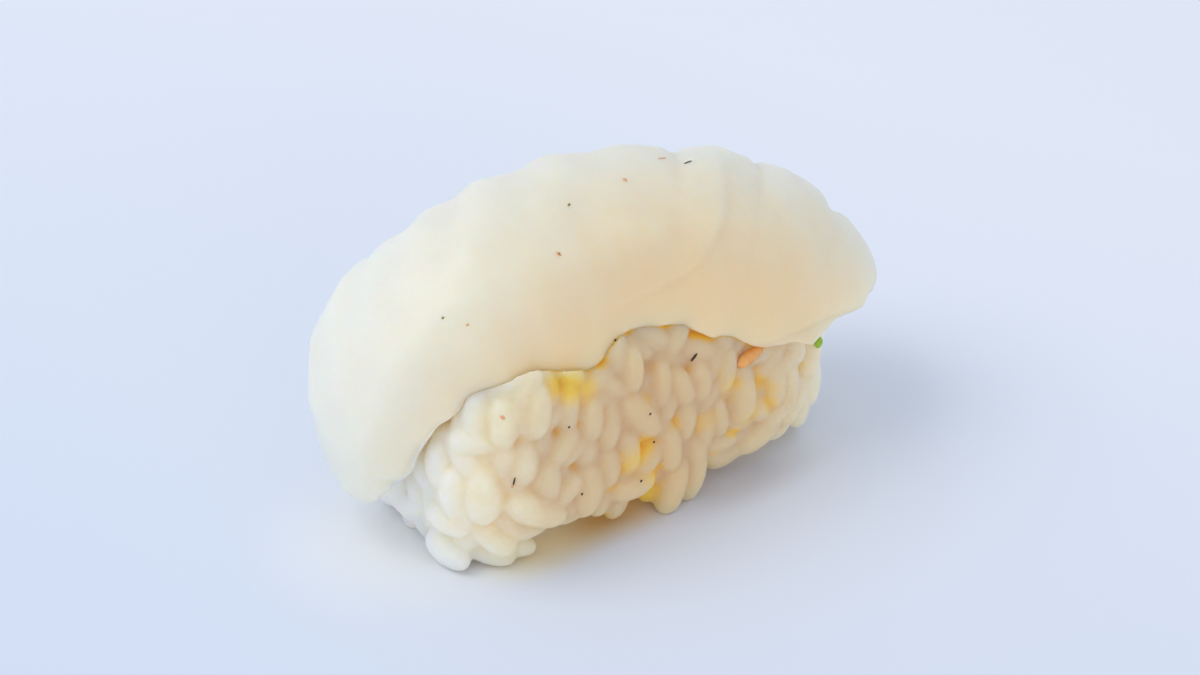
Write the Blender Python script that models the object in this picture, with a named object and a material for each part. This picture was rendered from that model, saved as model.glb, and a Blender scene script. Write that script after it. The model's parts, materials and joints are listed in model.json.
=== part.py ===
"""A halibut nigiri: a thick slice of raw white fish laid over a hand-pressed ball of sushi rice.

Metres, +Z up. The slice runs along X, and the origin is the middle of the rice's flat base.
"""

import math
import random

import bmesh
import bpy
from mathutils import Matrix, Vector
from mathutils.bvhtree import BVHTree

MM = 0.001

# The slice's outline as it lies flat, in mm. s runs along it from its highest point, q across it towards the back
SLICE_LEFT = 44
SLICE_RIGHT = 42.5
FRONT_EDGE = [
    (-45, 8), (-40, 9.5), (-36, 11.5), (-26, 13.2), (-18, 15.5), (-5, 17.8),
    (1, 14.8), (6, 15.3), (14, 18.3), (22, 20), (42, 20.3),
]
BACK_EDGE = [(-45, 16), (-20, 18), (20, 18), (42, 17)]
RIGHT_CUT = [(-1, 4.6), (-0.78, 4.4), (-0.55, 1.2), (-0.2, 0), (1, 1)]  # what the right end lacks, front to back
SLICE_THICKNESS = 7.2
SLICE_RIM = 0.34  # share of the thickness left at the edge
SLICE_CORNER = 0.58  # 0 is a square-cornered slice, 1 an oval one
SLICE_SEGMENTS = (36, 16, 2)  # along, across, through

# How the slice drapes over the rice
CROWN = Vector((-2.7, 1, 31.2))
SLICE_YAW = math.radians(7)
ARCH_RADIUS = [(-45, 24), (-26, 17), (-12, 12.8), (30, 12.8), (42, 15)]
CLIMB = [(-45, 86), (-34, 84), (-21, 44), (-7, 0), (2, 0), (24, -27), (42, -52)]  # degrees up towards +X
SPINE_STEP = 0.25

# Muscle bands of the fish
BAND_PITCH = 11
BAND_SLANT = 0.55  # how far a band runs along the slice for each unit across it
BAND_DEPTH = 0.8

# The ball of rice
RICE_HALF_LENGTH = 24.4
RICE_HALF_WIDTH = 11.9
RICE_WIDEST_Z = 8
RICE_TOP = 21  # above the widest level
RICE_UNDERCUT = (0.04, 0.2)  # how much shorter and narrower its foot is
RICE_SQUARENESS = 5.0
RICE_STEEPNESS = 3.0
RICE_SEGMENTS = (28, 14)
CORE_INSET = 0.8
GROUND_SIZE = 80  # the block that cuts the base flat
SLICE_GAP = 0.45
SLICE_CUT_SEGMENTS = (24, 12, 2)
BOOLEAN_SOLVER = "EXACT"

# The grains on it
GRAIN_LENGTH = 6.6
GRAIN_WIDTH = 2.8
GRAIN_SIDES = (5, 4)
GRAIN_SPACING = 3.2
GRAIN_LEAN = 35
LOWEST_GRAIN = 5.2
HIGHEST_GRAIN = 27
GRAIN_TRIES = 9000
GRAIN_CLEARANCE = 0.5
SEED = 11
# The grains that show at the front: bearing seen from above and height of the middle, lean to the right in degrees,
# length and width in mm, and how far they stick out beyond the rest
PLACED_GRAINS = [
    (-178, 7, -15, 5.6, 2.7, 0),
    (-168, 12.5, -9, 5.9, 2.9, 0),
    (-166, 6, -89, 6.2, 2.9, 0),
    (-163, 10, -5, 6.2, 3.1, 0),
    (-166, 1.6, -80, 6.2, 2.9, 0.8),
    (-158, 1.8, -75, 6.6, 3, 0.7),
    (-151, 2.2, -68, 6, 2.8, 1),
    (-159, 16.5, -96, 5.2, 2.6, 0),
    (-159, 19.2, -13, 5.4, 2.8, 0),
    (-156, 10.5, -1, 7.2, 3.6, 0),
    (-155, 4.5, -42, 6.2, 3, 0),
    (-153, 18.5, -11, 5.4, 2.8, 0),
    (-152, 14.5, 0, 5, 2.5, 0),
    (-151, 6, -36, 5.6, 2.2, 0),
    (-148, 13.5, -1, 5.4, 3, 0),
    (-146, 7.5, -55, 8.4, 3.3, 0.5),
    (-146, 19, 0, 6.2, 3.1, 0),
    (-143, 10.5, 0, 5.6, 2.9, 0),
    (-139, 14, 38, 5.2, 2.5, 0),
    (-138, 6.8, -10, 4.8, 2, 0),
    (-138, 8.6, 46, 4.6, 2.4, 0),
    (-137, 17.5, 2, 6.2, 2.4, 0),
    (-131, 7.5, 2, 7.5, 3.8, 0),
    (-131, 12.5, 5, 4.8, 2.9, 0),
    (-130, 16, 0, 5.2, 2.4, 0),
    (-123, 14.5, 5, 6.2, 2.6, 0),
    (-118, 18, -57, 5.4, 2.2, 0),
    (-111, 5.5, 89, 6, 3.2, 0),
    (-110, 19.5, 6, 5.4, 2.4, 0),
    (-107, 14, -37, 8, 3.4, 0),
    (-101, 8, 51, 5.6, 3, 0),
    (-93, 16.5, 7, 5.4, 2.2, 0),
    (-89, 8.5, -6, 6.2, 2.7, 0),
    (-84, 2.9, 16, 7.6, 3.1, 1.2),
    (-81, 15.5, -22, 5.4, 2.6, 0),
    (-78, 11, 2, 6, 2.7, 0),
    (-69, 15, -2, 5.4, 2.6, 0),
    (-68, 3, 14, 7, 2.7, 0.9),
    (-66, 8.5, 0, 6.2, 2.6, 0),
    (-59, 9.5, -8, 5.4, 2, 0),
    (-56, 15, 13, 5.8, 2.7, 0),
    (-49, 10.5, 3, 6.6, 3.3, 0),
    (-46, 3.2, 70, 6.6, 3.1, 0),
    (-39, 4.2, 68, 6.4, 3.1, 0),
    (-38, 10.5, -5, 6.7, 2.8, 0),
    (-34, 9, 3, 7.2, 2.9, 0),
    (-27, 5, -5, 7.2, 2.8, 0),
    (-26, 11, 8, 6, 2.6, 0),
]

# What is scattered on the rice: bearing, height, lean, length, width
FLECKS = [(-47, 15.5, 68, 3.3, 1.3), (-25, 13.6, 0, 1.8, 1.1)]
FLECK_THICKNESS = 2.2
FLECK_PROUD = 0.6

# The finish of each piece: colour, roughness
FISH_FINISH = ((0.80, 0.74, 0.58, 1), 0.32)
RICE_FINISH = ((0.78, 0.70, 0.52, 1), 0.45)


def lookup(table, value):
    """A value from rows of (position, value), eased between the rows."""
    if value <= table[0][0]:
        return table[0][1]
    for (x0, y0), (x1, y1) in zip(table, table[1:]):
        if value <= x1:
            return y0 + (y1 - y0) * smooth((value - x0) / (x1 - x0))
    return table[-1][1]


def smooth(value):
    """0 to 1 with a soft start and end."""
    value = max(0.0, min(1.0, value))
    return value * value * (3 - 2 * value)


def climb(s):
    """How steeply the slice climbs towards +X, s along it from its highest point."""
    for (x0, y0), (x1, y1) in zip(CLIMB, CLIMB[1:]):
        if s <= x1 or x1 == CLIMB[-1][0]:
            share = max(0.0, min(1.0, (s - x0) / (x1 - x0)))
            return math.radians(y0 + (y1 - y0) * share)


def spine_point(s):
    """The slice's middle line: its place, the way across the slice, and the way square to both."""
    steps = max(1, math.ceil(abs(s) / SPINE_STEP))
    ds = s / steps
    run, rise = 0.0, 0.0
    for i in range(steps):
        angle = climb((i + 0.5) * ds)
        run += ds * math.cos(angle)
        rise += ds * math.sin(angle)
    ahead = Vector((math.cos(SLICE_YAW), -math.sin(SLICE_YAW), 0))
    across = Vector((math.sin(SLICE_YAW), math.cos(SLICE_YAW), 0))
    up = Vector((0, 0, math.cos(climb(s)))) - ahead * math.sin(climb(s))
    return CROWN + ahead * run + Vector((0, 0, rise)), across, up


def band_relief(s, q):
    """The muscle bands: rounded crests with narrow valleys, deeper towards the right end."""
    phase = (s + BAND_SLANT * abs(q)) / BAND_PITCH
    valley = abs(math.sin(math.pi * phase)) ** 0.5
    return -BAND_DEPTH * (1 - valley) * (0.35 + 0.65 * smooth(s / 25))


def drape(s, q, height):
    """A point of the flat slice, height above its middle layer, laid over the rice."""
    middle, sideways, up = spine_point(s)
    radius = lookup(ARCH_RADIUS, s)
    angle = q / radius
    outward = up * math.cos(angle) + sideways * math.sin(angle)
    return middle - up * radius + outward * (radius + height)


def slice_point(along, across, through):
    """Where a point of a flat 2 x 2 x 2 block lies in the draped slice."""
    end = SLICE_RIGHT - lookup(RIGHT_CUT, across) if along > 0 else SLICE_LEFT
    s = end * along * math.sqrt(1 - SLICE_CORNER * across**2 / 2)
    front, back = lookup(FRONT_EDGE, s), lookup(BACK_EDGE, s)
    q = (back + front) / 2 * across + (back - front) / 2 * across**2
    q *= math.sqrt(1 - SLICE_CORNER * along**2 / 2)
    edge = (along**6 + across**6) ** (1 / 6)
    body = SLICE_RIM + (1 - SLICE_RIM) * math.sqrt(max(0.0, 1 - min(1.0, edge) ** 5))
    inset = 1 - 0.05 * smooth((edge - 0.8) / 0.2) * through**2
    height = through * body * SLICE_THICKNESS / 2
    if through > 0:
        height += through * band_relief(s, q)
    return drape(s * inset, q * inset, height)


def block(segments):
    """A 2 x 2 x 2 cube, cut into even segments along each axis."""
    mesh = bmesh.new()
    bmesh.ops.create_cube(mesh, size=2)
    for axis, count in enumerate(segments):
        normal = Vector([float(i == axis) for i in range(3)])
        for i in range(1, count):
            everything = mesh.verts[:] + mesh.edges[:] + mesh.faces[:]
            bmesh.ops.bisect_plane(
                mesh, geom=everything, plane_co=normal * (2 * i / count - 1), plane_no=normal
            )
    return mesh


def draped_slice(segments, growth=0.0):
    mesh = block(segments)
    for vert in mesh.verts:
        vert.co = slice_point(*vert.co)
    mesh.normal_update()
    grown = [vert.co + vert.normal * growth for vert in mesh.verts]
    for vert, place in zip(mesh.verts, grown):
        vert.co = place
    return mesh


def skin_point(bearing, z):
    """The ball's skin at a bearing seen from above and a height: domed above its widest level, undercut below."""
    dome = max(0.0, 1 - max(0.0, (z - RICE_WIDEST_Z) / RICE_TOP) ** RICE_STEEPNESS) ** (1 / RICE_STEEPNESS)
    depth = max(0.0, 1 - z / RICE_WIDEST_Z) ** 2
    half_length = RICE_HALF_LENGTH * (1 - RICE_UNDERCUT[0] * depth) * dome
    half_width = RICE_HALF_WIDTH * (1 - RICE_UNDERCUT[1] * depth) * dome
    if dome == 0:
        return Vector((0, 0, z))
    x, y = math.cos(math.radians(bearing)), math.sin(math.radians(bearing))
    plan = abs(x / half_length) ** RICE_SQUARENESS + abs(y / half_width) ** RICE_SQUARENESS
    return Vector((x, y, 0)) * plan ** (-1 / RICE_SQUARENESS) + Vector((0, 0, z))


def skin_frame(bearing, z):
    """The skin's point with its upward and outward directions, which stay level over the undercut."""
    level = max(z, RICE_WIDEST_Z)
    upward = (skin_point(bearing, level + 0.1) - skin_point(bearing, level)).normalized()
    sideways = (skin_point(bearing + 0.5, level) - skin_point(bearing - 0.5, level)).normalized()
    return skin_point(bearing, z), upward, sideways.cross(upward).normalized()


def loaf_core():
    """The packed middle of the ball, a little inside its skin, reaching below the base to be cut off there."""
    mesh = bmesh.new()
    bmesh.ops.create_uvsphere(mesh, u_segments=RICE_SEGMENTS[0], v_segments=RICE_SEGMENTS[1], radius=1)
    for vert in mesh.verts:
        x, y, level = vert.co
        z = RICE_WIDEST_Z + level * (RICE_TOP - CORE_INSET if level > 0 else RICE_WIDEST_Z + 1)
        if abs(level) > 0.99:
            vert.co = Vector((0, 0, z))
        else:
            point, _, outward = skin_frame(math.degrees(math.atan2(y, x)), z)
            vert.co = point - outward * CORE_INSET
    return mesh


def grain_places():
    """Every grain on the ball: those placed one by one, then others wherever the skin still has room."""
    chance = random.Random(SEED)
    grains = [(*skin_frame(bearing, z), *shape) for bearing, z, *shape in PLACED_GRAINS]
    for _ in range(GRAIN_TRIES):
        bearing, z = chance.uniform(-180, 180), chance.uniform(LOWEST_GRAIN, HIGHEST_GRAIN)
        lean = chance.uniform(-GRAIN_LEAN, GRAIN_LEAN) * (1 if bearing < 0 else 2)
        length, width = GRAIN_LENGTH * chance.uniform(0.85, 1.1), GRAIN_WIDTH * chance.uniform(0.9, 1.08)
        point, upward, outward = skin_frame(bearing, z)
        if all((point - other[0]).length > GRAIN_SPACING for other in grains):
            grains.append((point, upward, outward, lean, length, width, chance.uniform(-0.4, 0.1)))
    return grains


def lying(upward, outward, lean):
    """The turn that lays a piece's local Z along the skin, leaning to the right, with its local Y outward."""
    axis = upward * math.cos(math.radians(lean)) + upward.cross(outward) * math.sin(math.radians(lean))
    return Matrix((outward.cross(axis), outward, axis)).transposed()


def grain(point, upward, outward, lean, length, width, push):
    """One cooked grain lying on the skin, blunt at both ends."""
    turn = lying(upward, outward, lean)
    mesh = bmesh.new()
    bmesh.ops.create_uvsphere(mesh, u_segments=GRAIN_SIDES[0], v_segments=GRAIN_SIDES[1], radius=1)
    for vert in mesh.verts:
        x, y, z = vert.co
        girth = math.hypot(x, y) ** -0.4 if abs(z) < 0.99 else 1
        local = Vector((x * girth * width, y * girth * width, math.copysign(abs(z) ** 0.85, z) * length)) / 2
        vert.co = point + outward * push + turn @ local
    return mesh


def fleck(point, upward, outward, lean, length, width):
    """A scrap of topping pressed half into the rice."""
    turn = lying(upward, outward, lean)
    mesh = bmesh.new()
    bmesh.ops.create_uvsphere(mesh, u_segments=8, v_segments=6, radius=0.5)
    for vert in mesh.verts:
        x, y, z = vert.co
        vert.co = point + outward * FLECK_PROUD + turn @ Vector((x * width, y * FLECK_THICKNESS, z * length))
    return mesh


def join_into(base, pieces, operation):
    """Unites the base with a set of pieces, or cuts them away."""
    tools = bpy.data.collections.new("tools")
    bpy.context.scene.collection.children.link(tools)
    for piece in pieces:
        make_object("tool", piece, tools)
    modifier = base.modifiers.new("join", "BOOLEAN")
    modifier.operand_type = "COLLECTION"
    modifier.collection = tools
    modifier.operation = operation
    modifier.solver = BOOLEAN_SOLVER
    bpy.context.view_layer.update()
    result = bpy.data.meshes.new_from_object(base.evaluated_get(bpy.context.evaluated_depsgraph_get()))
    base.modifiers.clear()
    base.data = result
    for tool in list(tools.objects):
        bpy.data.objects.remove(tool)
    bpy.data.collections.remove(tools)


def give_finish(thing, name, finish):
    material = bpy.data.materials.new(name)
    material.use_nodes = True
    shader = material.node_tree.nodes["Principled BSDF"]
    shader.inputs["Base Color"].default_value = finish[0]
    shader.inputs["Roughness"].default_value = finish[1]
    shader.inputs["Metallic"].default_value = 0
    material.diffuse_color = finish[0]
    thing.data.materials.clear()
    thing.data.materials.append(material)


def keep_largest(thing):
    """Drops scraps that the cuts left loose."""
    mesh = bmesh.new()
    mesh.from_mesh(thing.data)
    bmesh.ops.triangulate(mesh, faces=mesh.faces[:])
    left, groups = set(mesh.verts), []
    while left:
        group, front = set(), [left.pop()]
        while front:
            vert = front.pop()
            group.add(vert)
            near = {edge.other_vert(vert) for edge in vert.link_edges} & left
            left -= near
            front += near
        groups.append(group)
    groups.sort(key=len)
    bmesh.ops.delete(mesh, geom=[vert for group in groups[:-1] for vert in group], context="VERTS")
    mesh.to_mesh(thing.data)
    mesh.free()


def make_object(name, mesh, collection):
    for vert in mesh.verts:
        vert.co *= MM
    data = bpy.data.meshes.new(name)
    mesh.to_mesh(data)
    mesh.free()
    thing = bpy.data.objects.new(name, data)
    collection.objects.link(thing)
    return thing


def main():
    for thing in list(bpy.data.objects):
        bpy.data.objects.remove(thing)
    nigiri = bpy.data.collections.new("halibut nigiri")
    bpy.context.scene.collection.children.link(nigiri)
    fish = make_object("fish_slice", draped_slice(SLICE_SEGMENTS), nigiri)
    fish.data.shade_smooth()
    give_finish(fish, "raw halibut", FISH_FINISH)

    rice = make_object("rice", loaf_core(), nigiri)
    slice_tree = BVHTree.FromBMesh(draped_slice(SLICE_SEGMENTS))
    grains = []
    for place in grain_places():
        near, normal, _, distance = slice_tree.find_nearest(place[0])
        if distance > GRAIN_CLEARANCE and (place[0] - near).dot(normal) > 0:
            grains.append(grain(*place))
    flecks = [fleck(*skin_frame(*row[:2]), *row[2:]) for row in FLECKS]
    join_into(rice, grains + flecks, "UNION")
    below = bmesh.new()
    bmesh.ops.create_cube(below, size=GROUND_SIZE)
    bmesh.ops.translate(below, vec=(0, 0, -GROUND_SIZE / 2), verts=below.verts)
    join_into(rice, [below, draped_slice(SLICE_CUT_SEGMENTS, SLICE_GAP)], "DIFFERENCE")
    keep_largest(rice)
    give_finish(rice, "sushi rice", RICE_FINISH)


main()
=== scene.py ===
"""A halibut nigiri on a plain pale floor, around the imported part.

Metres, +Z up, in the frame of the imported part. The sizes of the pieces are in mm, and each mesh is built at
its place.
"""

import json
import math
import random

import bpy
from mathutils import Matrix, Vector, noise
from mathutils.bvhtree import BVHTree

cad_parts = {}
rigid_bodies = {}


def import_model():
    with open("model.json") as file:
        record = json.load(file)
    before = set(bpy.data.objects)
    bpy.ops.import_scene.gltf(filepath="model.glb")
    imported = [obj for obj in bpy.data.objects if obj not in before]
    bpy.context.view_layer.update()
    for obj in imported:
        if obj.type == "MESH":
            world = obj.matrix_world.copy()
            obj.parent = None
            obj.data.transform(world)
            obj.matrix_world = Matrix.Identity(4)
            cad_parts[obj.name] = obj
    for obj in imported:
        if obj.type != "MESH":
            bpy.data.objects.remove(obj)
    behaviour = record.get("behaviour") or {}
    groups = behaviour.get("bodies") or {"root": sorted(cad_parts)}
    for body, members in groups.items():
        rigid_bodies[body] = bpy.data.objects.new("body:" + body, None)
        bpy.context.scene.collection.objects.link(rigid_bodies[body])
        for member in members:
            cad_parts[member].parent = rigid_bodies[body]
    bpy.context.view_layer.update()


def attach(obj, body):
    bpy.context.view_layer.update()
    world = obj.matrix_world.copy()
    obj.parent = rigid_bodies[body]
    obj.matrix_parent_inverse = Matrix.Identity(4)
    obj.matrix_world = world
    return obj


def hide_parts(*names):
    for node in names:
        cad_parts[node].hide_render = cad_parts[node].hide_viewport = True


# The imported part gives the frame. Both of its solids, the fish slice and the rice, are replaced below by
# finer pieces that follow the same shapes in the same places.
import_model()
MM = 0.001

# The fish slice: a thick slice of raw white halibut, cut across the fillet and laid over the rice by hand. It
# is soft and moist, sags over the rice at both ends, and shows the fillet's muscle bands as low swells.
# Places on it are in mm along it (s, towards +X) and across it (q, towards +Y), from its crown.
SLICE_LEFT = 43.4
SLICE_RIGHT = 42.5
SLICE_REACH = 43  # to both ends, about
SLICE_HALF_WIDTH = 20  # about
# The slice's two long edges: rows of place along it, distance from its middle line
FRONT_EDGE = [
    (-45, 7.5), (-40, 8.2), (-36, 9.8), (-30, 11.2), (-26, 12.8), (-18, 15.5), (-5, 17.8),
    (1, 14.8), (6, 15.3), (14, 18.3), (22, 20), (42, 20.3),
]
BACK_EDGE = [(-45, 20.5), (-38, 18.5), (-27, 16), (-20, 16.5), (0, 18), (20, 18), (42, 17)]
# How far short of SLICE_RIGHT the right end stops, by the place across it, from -1 to 1
RIGHT_CUT = [(-1, 6), (-0.82, 5.8), (-0.62, 3), (-0.45, 2.2), (-0.2, 1.7), (1, 1.6)]
SLICE_THICKNESS = 7.2
SLICE_RIM = 0.1
RIM_ROUNDNESS = 4
FRONT_START = 0.35  # the slice gets thinner from this share of the way out to its front edge
FRONT_THIN = 0.2  # how much of the outer half's thickness is left at the front edge
FRONT_SINK = 0.7  # how far the front edge settles in against the rice
FRONT_LEFT_END = (-46, 12)  # where along the slice this starts, and over how far
SLICE_CORNER = 0.58
SLICE_SQUARENESS = 6
SLICE_CUTS = (239, 95, 7)  # along, across, through
CROWN = Vector((-2.7, 1, 31.2))
SLICE_YAW = math.radians(7)
# How tightly the slice arches across itself, by the place along it
ARCH_RADIUS = [(-45, 24), (-26, 17), (-12, 12.8), (30, 12.8), (42, 15)]
CLIMB = [(-45, 86), (-34, 84), (-21, 44), (-7, 0), (2, 0), (24, -27), (42, -52)]  # degrees up towards +X
SPINE_STEP = 0.25
SPINE_STEPS = 200
# The bands cross the slice on a slant, less so near the front edge. Rows: place along the slice, how far it
# swells there
BAND_SLANT = (0.7, 0.2, -8.5)
BAND_SWELLS = [
    (-40, 0.5), (-36, 0.8), (-33, 0.4), (-30, 0.3), (-27, -0.5), (-24, -0.4), (-21, -0.7), (-17.5, -0.1),
    (-14.5, -0.3), (-10.7, 0.9), (-7.2, 0.7), (-2.1, 1.35), (2.4, 0.8), (5.5, 1), (10.5, 0.6), (12.2, 0),
    (14, 0.6), (17.8, 1), (21.4, 0.7), (22.6, 0), (23.8, 0.6), (26.6, 1), (31.2, 0.7), (34, -0.6),
    (36.6, 0.4), (38.6, 0.2),
]
# The swells are low at the front, and rise from this place across the slice over this far
BAND_FADE = (-6, 11)
BAND_LEAST = 0.2
# Where one band ends in a low step over the next one: along the slice, across it
STEP_LINE = [
    (-6, -12.9), (-2.9, -12.5), (1.2, -11.8), (4.3, -11.4), (7.6, -10.8), (9.9, -9.8), (11.7, -8.2),
    (13.5, -6.5), (14.3, -5.1), (15.3, -3.4), (16.8, -1.2), (18, 0.8),
]
STEP_HEIGHT = 0.5
STEP_WIDTH = 0.7
STEP_FADE = 7
# Where the step starts and over how far it rises: at its front end, at its back end and at its left end
STEP_ENDS = ((-13.5, 2), (3, 4), (-8, 8))
# How the slice's edge wanders: how often, a place in the noise, how far
EDGE_WAVES = ((0.16, 5, 0.5), (0.5, 5, 0.2))
EDGE_WAVE_START = 0.6  # from this share of the way out
# Towards the rim the relief gets lower: from this share of the way out, over this far, by this much
RIM_CALM = (0.8, 0.2, 0.6)
# Fine unevenness of the upper face: how often along and across, a place in the noise, how far
UNEVENNESS = ((0.22, 0.22, 3, 0.3), (0.7, 0.5, 8, 0.1))
# The hollow that the slice presses into the rice: its size against the slice's, its thickness above and below
HOLLOW_SHRINK = (0.985, 0.975)
HOLLOW_THICKNESS = (1.4, 0.85)


def smooth(value):
    """0 to 1 with a soft start and end."""
    value = max(0.0, min(1.0, value))
    return value * value * (3 - 2 * value)


def lookup(table, value):
    """A value from rows of (position, value), eased between the rows."""
    if value <= table[0][0]:
        return table[0][1]
    for (x0, y0), (x1, y1) in zip(table, table[1:]):
        if value <= x1:
            return y0 + (y1 - y0) * smooth((value - x0) / (x1 - x0))
    return table[-1][1]


def climb(s):
    """How steeply the slice climbs towards +X, s along it from its highest point."""
    for (x0, y0), (x1, y1) in zip(CLIMB, CLIMB[1:]):
        if s <= x1 or x1 == CLIMB[-1][0]:
            share = max(0.0, min(1.0, (s - x0) / (x1 - x0)))
            return math.radians(y0 + (y1 - y0) * share)


def walk_spine(direction):
    """How far along and up the slice's middle line has gone after each small step from its highest point."""
    places = [(0.0, 0.0)]
    for i in range(SPINE_STEPS):
        angle = climb((i + 0.5) * SPINE_STEP * direction)
        run, rise = places[-1]
        places.append((
            run + SPINE_STEP * direction * math.cos(angle),
            rise + SPINE_STEP * direction * math.sin(angle),
        ))
    return places


SPINE = {1: walk_spine(1), -1: walk_spine(-1)}


def spine_point(s):
    """The slice's middle line: its place, the way across the slice, and the way square to both."""
    places = SPINE[1 if s >= 0 else -1]
    step, share = divmod(abs(s) / SPINE_STEP, 1)
    (run0, rise0), (run1, rise1) = places[int(step)], places[int(step) + 1]
    run, rise = run0 + (run1 - run0) * share, rise0 + (rise1 - rise0) * share
    ahead = Vector((math.cos(SLICE_YAW), -math.sin(SLICE_YAW), 0))
    across = Vector((math.sin(SLICE_YAW), math.cos(SLICE_YAW), 0))
    up = Vector((0, 0, math.cos(climb(s)))) - ahead * math.sin(climb(s))
    return CROWN + ahead * run + Vector((0, 0, rise)), across, up


def step_relief(s, q):
    """The low step where the left band ends over the right one."""
    place = Vector((s, q))
    nearest, side = 1e9, 1
    for start, end in zip(STEP_LINE, STEP_LINE[1:]):
        start, end = Vector(start), Vector(end)
        along = end - start
        share = max(0.0, min(1.0, (place - start).dot(along) / along.length_squared))
        gap = place - start - along * share
        if gap.length < nearest:
            nearest = gap.length
            side = 1 if along.x * gap.y - along.y * gap.x > 0 else -1
    front_end, back_end, left_end = STEP_ENDS
    ends = smooth((q - front_end[0]) / front_end[1]) * smooth((back_end[0] - q) / back_end[1])
    ends *= smooth((s - left_end[0]) / left_end[1])
    return STEP_HEIGHT * ends * smooth(0.5 + side * nearest / STEP_WIDTH) * math.exp(-nearest / STEP_FADE)


def relief(s, q):
    """How far the fish's upper face swells above its plain draped form."""
    slant = BAND_SLANT[0] * max(q, BAND_SLANT[2]) + BAND_SLANT[1] * min(0, q - BAND_SLANT[2])
    swell = lookup(BAND_SWELLS, s - slant)
    fade = BAND_LEAST + (1 - BAND_LEAST) * smooth((q - BAND_FADE[0]) / BAND_FADE[1])
    texture = sum(noise.noise(Vector((s * x, q * y, at))) * far for x, y, at, far in UNEVENNESS)
    return swell * fade + step_relief(s, q) + texture


def drape(s, q, height):
    """A point of the flat slice, height above its middle layer, laid over the rice."""
    middle, sideways, up = spine_point(s)
    radius = lookup(ARCH_RADIUS, s)
    angle = q / radius
    outward = up * math.cos(angle) + sideways * math.sin(angle)
    return middle - up * radius + outward * (radius + height)


def front_share(s, across):
    """From 0 to 1 where the slice thins out towards its front edge."""
    start, reach = FRONT_LEFT_END
    return smooth((-FRONT_START - across) / (1 - FRONT_START)) * smooth((s - start) / reach)


def slice_point(along, across, through, plain=False):
    """Where a point of a flat 2 x 2 x 2 block lies in the draped slice, or in the plain hollow under it."""
    end = SLICE_RIGHT - lookup(RIGHT_CUT, across) if along > 0 else SLICE_LEFT
    s = end * along * math.sqrt(1 - SLICE_CORNER * across**2 / 2)
    fore, aft = lookup(FRONT_EDGE, s), lookup(BACK_EDGE, s)
    q = (aft + fore) / 2 * across + (aft - fore) / 2 * across**2
    q *= math.sqrt(1 - SLICE_CORNER * along**2 / 2)
    edge = (along**SLICE_SQUARENESS + across**SLICE_SQUARENESS) ** (1 / SLICE_SQUARENESS)
    body = SLICE_RIM + (1 - SLICE_RIM) * math.sqrt(max(0.0, 1 - min(1.0, edge) ** RIM_ROUNDNESS))
    height = through * body * SLICE_THICKNESS / 2
    front = front_share(s, across)
    if plain:
        height *= HOLLOW_THICKNESS[through <= 0]
        return drape(s * HOLLOW_SHRINK[0], q * HOLLOW_SHRINK[1], height - FRONT_SINK * front)
    inset = 1.0
    for often, at, far in EDGE_WAVES:
        wave = noise.noise(Vector((s * often, q * often, at))) * far
        inset += wave * smooth((edge - EDGE_WAVE_START) / (1 - EDGE_WAVE_START)) / SLICE_HALF_WIDTH
    if through > 0:
        calm_from, calm_over, calm = RIM_CALM
        height += through * relief(s, q) * (1 - calm * smooth((edge - calm_from) / calm_over))
        height *= 1 - (1 - FRONT_THIN) * front
    return drape(s * inset, q * inset, height - FRONT_SINK * front)


def finish_piece(piece, node=None):
    """Fixes a finished piece to the part, which is one rigid body, and hides the solid it stands for."""
    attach(piece, "root")
    if node:
        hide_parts(node)


def cut_block(name, cuts):
    """A 2 x 2 x 2 block with this many evenly spaced cuts along each of its axes."""
    bpy.ops.object.select_all(action="DESELECT")
    bpy.ops.mesh.primitive_cube_add(size=2)
    piece = bpy.context.object
    piece.name = piece.data.name = name
    for axis, count in enumerate(cuts):
        ends = [vert.co.copy() for vert in piece.data.vertices]
        # Only the edges along this axis that aren't cut yet are still 2 long that way
        for edge in piece.data.edges:
            line = ends[edge.vertices[1]] - ends[edge.vertices[0]]
            edge.select = abs(line[axis]) > 1.9
        bpy.ops.object.mode_set(mode="EDIT")
        bpy.ops.mesh.select_mode(type="EDGE")
        bpy.ops.mesh.subdivide(number_cuts=count)
        bpy.ops.mesh.select_all(action="DESELECT")
        bpy.ops.object.mode_set(mode="OBJECT")
    return piece


fish = cut_block("halibut_slice", SLICE_CUTS)
thinness = fish.data.attributes.new("thinness", "FLOAT", "POINT")
for vert, value in zip(fish.data.vertices, thinness.data):
    value.value = front_share(vert.co.x * SLICE_REACH, vert.co.y)
    vert.co = slice_point(*vert.co) * MM
bpy.ops.object.shade_smooth()


def new_material(name):
    """A material with its nodes and links."""
    material = bpy.data.materials.new(name)
    material.use_nodes = True
    return material, material.node_tree.nodes, material.node_tree.links


def add_node(nodes, kind, **settings):
    """A shader node with its inputs and properties set."""
    node = nodes.new(kind)
    for key, value in settings.items():
        if key in node.inputs:
            node.inputs[key].default_value = value
        else:
            setattr(node, key, value)
    return node


def set_ramp(ramp, stops):
    """Gives a colour ramp its stops."""
    elements = ramp.color_ramp.elements
    while len(elements) < len(stops):
        elements.new(0.5)
    for element, (place, colour) in zip(elements, stops):
        element.position = place
        element.color = (*colour, 1)


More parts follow.
